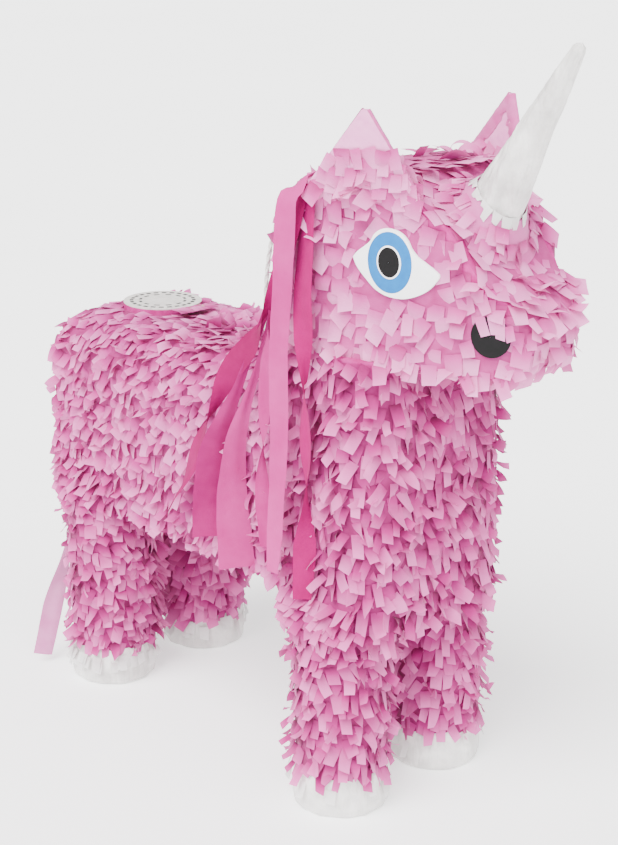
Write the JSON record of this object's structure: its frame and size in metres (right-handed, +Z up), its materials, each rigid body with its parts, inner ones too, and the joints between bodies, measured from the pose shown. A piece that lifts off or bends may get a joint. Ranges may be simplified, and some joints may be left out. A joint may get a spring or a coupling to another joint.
{
  "type": "pinata",
  "caption": "Standing unicorn pinata: paperboard shell under tissue fringe, ribbon mane, paper horn, and a hinged fill flap on the rump.",
  "frame": {"origin": "on the floor, under the middle of the animal's overall length and width", "axes": "+X from the tail to the nose, +Y to the animal's left, +Z up"},
  "size_m": [0.482, 0.2052, 0.5564],
  "materials": {
    "paperboard": "matte brown board, unprinted",
    "pink_tissue": "matte crepe tissue, cut into tabs",
    "magenta_tissue": "matte deep magenta tissue ribbon",
    "mid_pink_tissue": "matte mid-pink tissue ribbon",
    "pale_tissue": "thin pale pink tissue, slightly see-through",
    "white_tissue": "glazed white tissue, wrinkled and glued",
    "pink_card": "pink paper over thin card",
    "eye_print": "satin printed sticker, white with a blue iris",
    "black_print": "matte black printed sticker",
    "label_print": "matte off-white round sticker with a plain dashed ring",
    "paper_tape": "matte gummed paper tape",
    "white_cord": "braided white cord"
  },
  "bodies": {
    "pinata_body": {"trunk_wrap": "paperboard", "belly_panel": "paperboard", "rump_cap": "paperboard", "chest_wrap": "paperboard", "neck_back_panel": "paperboard", "chest_floor": "paperboard", "chest_lid": "paperboard", "head_side_right": "paperboard", "head_side_left": "paperboard", "crown_panel": "paperboard", "face_panel": "paperboard", "muzzle_panel": "paperboard", "chin_panel": "paperboard", "leg_front_right": "paperboard", "leg_front_left": "paperboard", "leg_rear_right": "paperboard", "leg_rear_left": "paperboard", "hoof_front_right": "white_tissue", "hoof_front_left": "white_tissue", "hoof_rear_right": "white_tissue", "hoof_rear_left": "white_tissue", "horn_cone": "white_tissue", "horn_collar": "white_tissue", "ear_right": "pink_card", "ear_left": "pink_card", "eye_right": "eye_print", "eye_left": "eye_print", "nostril_right": "black_print", "nostril_left": "black_print", "flap_hinge_tape": "paper_tape", "hanging_loop": "white_cord", "loop_knot_neck": "white_cord", "loop_knot_back": "white_cord", "fringe_trunk": "pink_tissue", "fringe_chest": "pink_tissue", "fringe_head": "pink_tissue", "fringe_leg_front_right": "pink_tissue", "fringe_leg_front_left": "pink_tissue", "fringe_leg_rear_right": "pink_tissue", "fringe_leg_rear_left": "pink_tissue", "mane_root_right": "mid_pink_tissue", "mane_root_left": "mid_pink_tissue", "mane_ribbon_right_1": "magenta_tissue", "mane_ribbon_right_2": "mid_pink_tissue", "mane_ribbon_right_3": "magenta_tissue", "mane_ribbon_right_4": "mid_pink_tissue", "mane_ribbon_right_5": "magenta_tissue", "mane_ribbon_right_6": "mid_pink_tissue", "mane_ribbon_left_1": "magenta_tissue", "mane_ribbon_left_2": "mid_pink_tissue", "mane_ribbon_left_3": "magenta_tissue", "mane_ribbon_left_4": "mid_pink_tissue", "mane_ribbon_left_5": "magenta_tissue", "mane_ribbon_left_6": "mid_pink_tissue", "tail_root": "pale_tissue", "tail_strip_right": "pale_tissue", "tail_strip_left": "pale_tissue", "tail_strip_middle": "pale_tissue"},
    "fill_flap": {"fill_flap": "paperboard", "fill_label": "label_print"}
  },
  "joints": [
    {"name": "fill_flap_hinge", "type": "hinge", "parent": "pinata_body", "child": "fill_flap", "pos_m": [-0.1459, 0, 0.3218], "axis": [0, 1, 0], "range_deg": [0, 115]}
  ]
}
